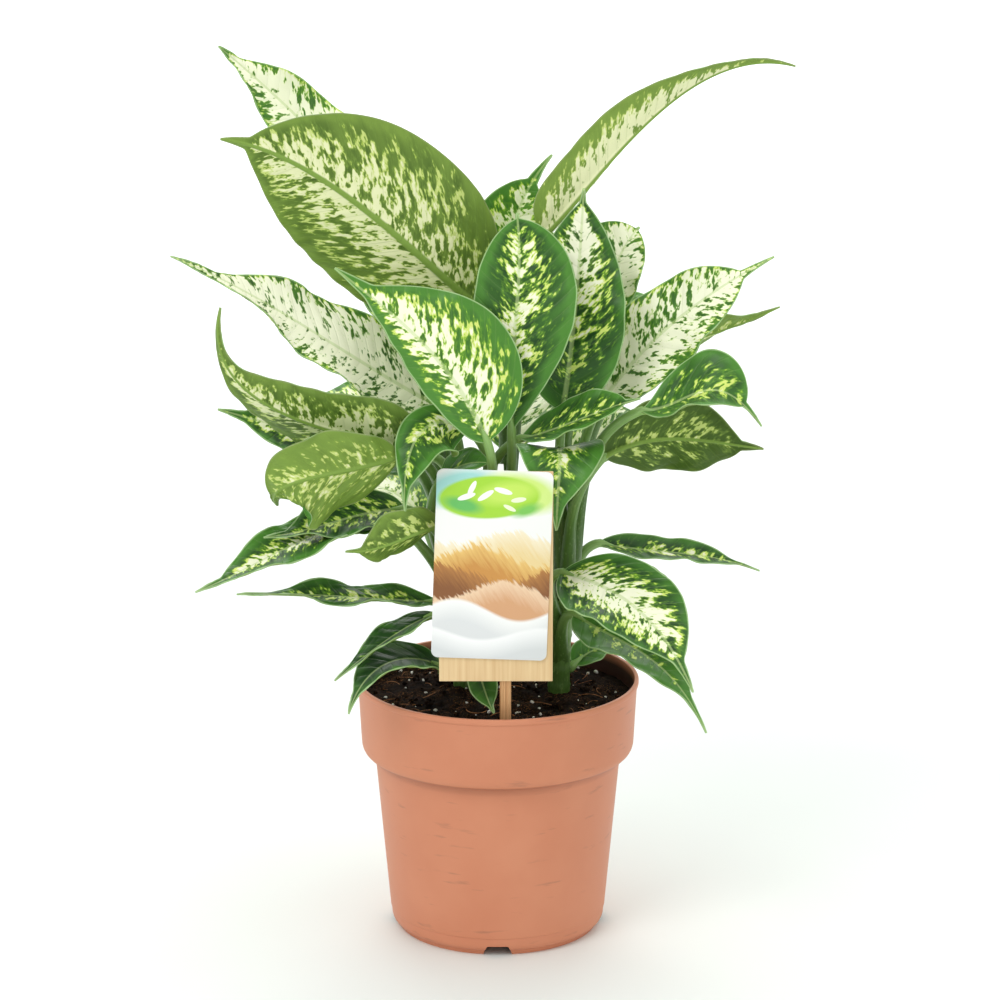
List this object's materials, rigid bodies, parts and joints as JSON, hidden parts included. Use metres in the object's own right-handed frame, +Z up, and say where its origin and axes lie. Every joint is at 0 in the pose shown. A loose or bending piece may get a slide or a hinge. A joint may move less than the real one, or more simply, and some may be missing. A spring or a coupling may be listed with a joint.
{
  "type": "potted plant",
  "caption": "Potted dieffenbachia with broad cream-splashed leaves on several canes, in a terracotta-coloured plastic nursery pot with a care label on a stick.",
  "frame": {"origin": "on the floor under the middle of the plant's box, which is the pot's axis to within a few millimetres", "axes": "+Z up along the pot's axis, -Y towards the front where the care label stands, +X to the right seen from the front"},
  "size_m": [0.3588, 0.2729, 0.5295],
  "materials": {
    "terracotta_plastic": "satin",
    "potting_soil": "matte",
    "green_stalk": "satin",
    "green_leaf": "satin",
    "pale_leaf": "satin",
    "pale_wood": "matte",
    "tan_card": "matte",
    "printed_card": "satin"
  },
  "bodies": {
    "root": {"pot": "terracotta_plastic", "soil": "potting_soil", "cane_front_right": "green_stalk", "cane_front_left": "green_stalk", "cane_centre": "green_stalk", "cane_back_left": "green_stalk", "cane_back_right": "green_stalk", "leaf_top_left_far": "pale_leaf", "leaf_top_left_broad": "green_leaf", "leaf_left_white": "pale_leaf", "leaf_centre_left": "green_leaf", "leaf_centre": "green_leaf", "leaf_centre_right": "green_leaf", "leaf_top_right_rolled": "green_leaf", "leaf_centre_back": "green_leaf", "leaf_right_pale_back": "pale_leaf", "leaf_right_white": "pale_leaf", "leaf_right_behind": "green_leaf", "leaf_right_drooping": "green_leaf", "leaf_right_lower": "green_leaf", "leaf_right_edge_on": "green_leaf", "leaf_centre_under": "green_leaf", "leaf_front_hanging": "green_leaf", "leaf_front_left_hanging": "green_leaf", "leaf_left_upturned": "green_leaf", "leaf_left_behind": "green_leaf", "leaf_left_puckered": "green_leaf", "leaf_left_shaded": "green_leaf", "leaf_low_left_long": "green_leaf", "leaf_low_left_upper": "green_leaf", "leaf_low_left_curled": "green_leaf", "leaf_low_left_flat": "green_leaf", "leaf_low_left_arching": "green_leaf", "leaf_rim_left": "green_leaf", "leaf_low_right_broad": "green_leaf", "leaf_rim_right": "green_leaf", "leaf_low_right_narrow": "green_leaf", "leaf_soil_sprout": "green_leaf", "leaf_soil_right": "green_leaf", "leaf_back_high": "green_leaf", "leaf_back_left_high": "pale_leaf", "leaf_back_right_high": "green_leaf", "leaf_back_left_mid": "green_leaf", "leaf_back_mid": "pale_leaf", "leaf_back_right_mid": "pale_leaf", "leaf_back_left_low": "green_leaf", "leaf_back_low": "green_leaf", "leaf_back_right_low": "green_leaf", "leaf_back_rim": "green_leaf", "label_stick": "pale_wood", "label_back_card": "tan_card", "label_front_card": "printed_card"}
  },
  "joints": []
}
